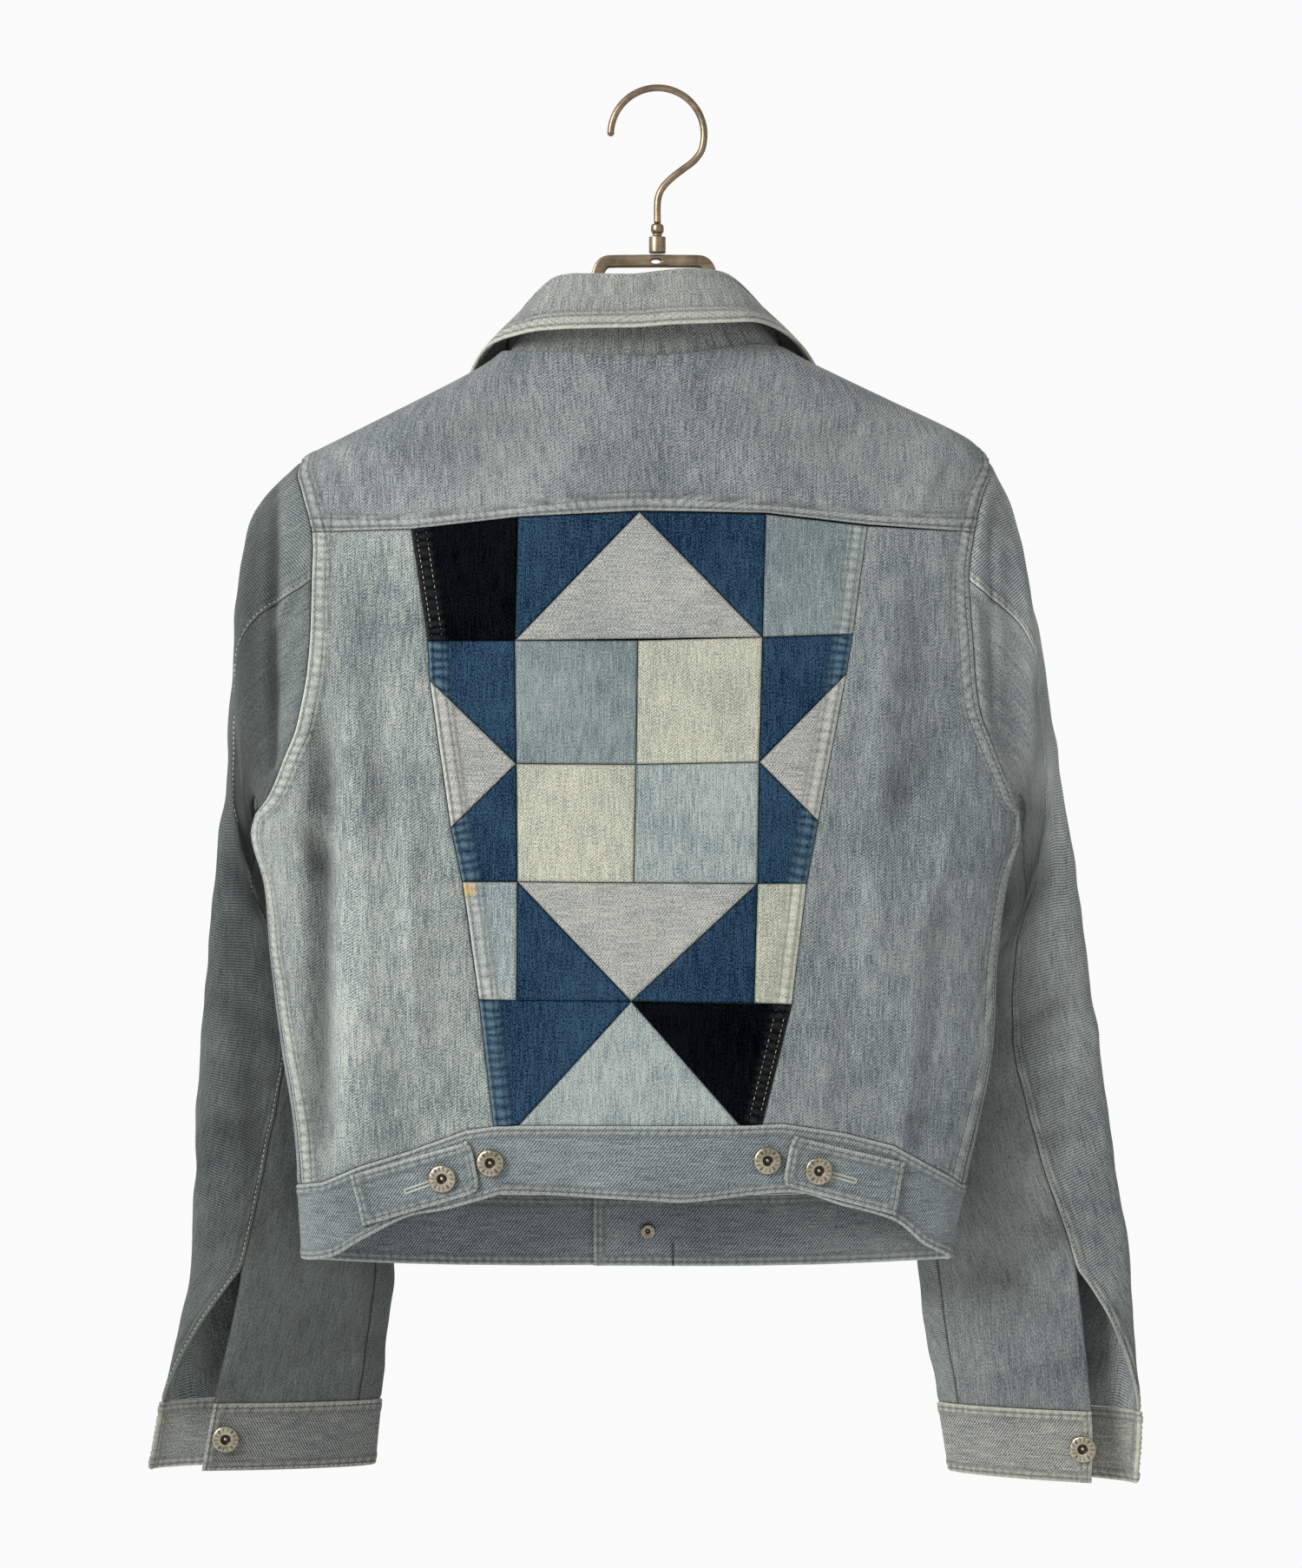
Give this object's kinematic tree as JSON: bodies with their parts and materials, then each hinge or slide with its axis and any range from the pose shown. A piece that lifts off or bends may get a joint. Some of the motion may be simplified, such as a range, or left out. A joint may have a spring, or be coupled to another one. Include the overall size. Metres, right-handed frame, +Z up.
{
  "type": "patchwork denim jacket on a hanger",
  "caption": "Cropped washed-denim jacket with a geometric patchwork back, buttoned and hanging on a metal hanger by its hook.",
  "frame": {"origin": "the inside top of the hanger's hook, where a rail carries it", "axes": "+Z up, +Y towards the jacket's front, +X to the right when looking at its back"},
  "size_m": [0.6214, 0.1397, 0.8715],
  "materials": {
    "washed_denim": "light grey-blue denim, heavily washed, with vertical streaks, paler at seams and edges",
    "sleeve_denim": "the same denim, slightly darker and greyer, with soft folds",
    "patch_black": "black denim with pale double topstitching",
    "patch_indigo": "mid-blue denim with fine light flecks",
    "patch_grey": "very pale grey denim",
    "patch_sky": "pale blue-grey denim",
    "patch_cream": "cream denim",
    "button_metal": "dull worn metal with dark recesses",
    "hanger_metal": "brushed warm pewter"
  },
  "bodies": {
    "root": {"back_yoke": "washed_denim", "back_side_left": "washed_denim", "back_side_right": "washed_denim", "patch_1a": "patch_black", "patch_1b": "patch_indigo", "patch_1c": "patch_grey", "patch_1d": "patch_indigo", "patch_1e": "patch_sky", "patch_2a": "patch_indigo", "patch_2b": "patch_grey", "patch_2c": "patch_sky", "patch_2d": "patch_cream", "patch_2e": "patch_indigo", "patch_2f": "patch_grey", "patch_3a": "patch_indigo", "patch_3b": "patch_cream", "patch_3c": "patch_sky", "patch_3d": "patch_indigo", "patch_4a": "patch_sky", "patch_4b": "patch_indigo", "patch_4c": "patch_grey", "patch_4d": "patch_indigo", "patch_4e": "patch_cream", "patch_5a": "patch_indigo", "patch_5b": "patch_sky", "patch_5c": "patch_black", "front_left": "washed_denim", "front_right": "washed_denim", "waistband": "washed_denim", "tab_left": "washed_denim", "tab_right": "washed_denim", "collar": "washed_denim", "sleeve_upper_left": "sleeve_denim", "sleeve_under_left": "sleeve_denim", "cuff_left": "sleeve_denim", "sleeve_upper_right": "sleeve_denim", "sleeve_under_right": "sleeve_denim", "cuff_right": "sleeve_denim", "tab_button_left": "button_metal", "tab_button_right": "button_metal", "band_button_left": "button_metal", "band_button_right": "button_metal", "front_button_1": "button_metal", "front_button_2": "button_metal", "front_button_3": "button_metal", "front_button_4": "button_metal", "front_button_5": "button_metal", "front_button_6": "button_metal", "waist_button_back": "button_metal", "cuff_button_left": "button_metal", "cuff_button_right": "button_metal", "hook": "hanger_metal", "ferrule": "hanger_metal", "hanger_frame": "hanger_metal"}
  },
  "joints": []
}
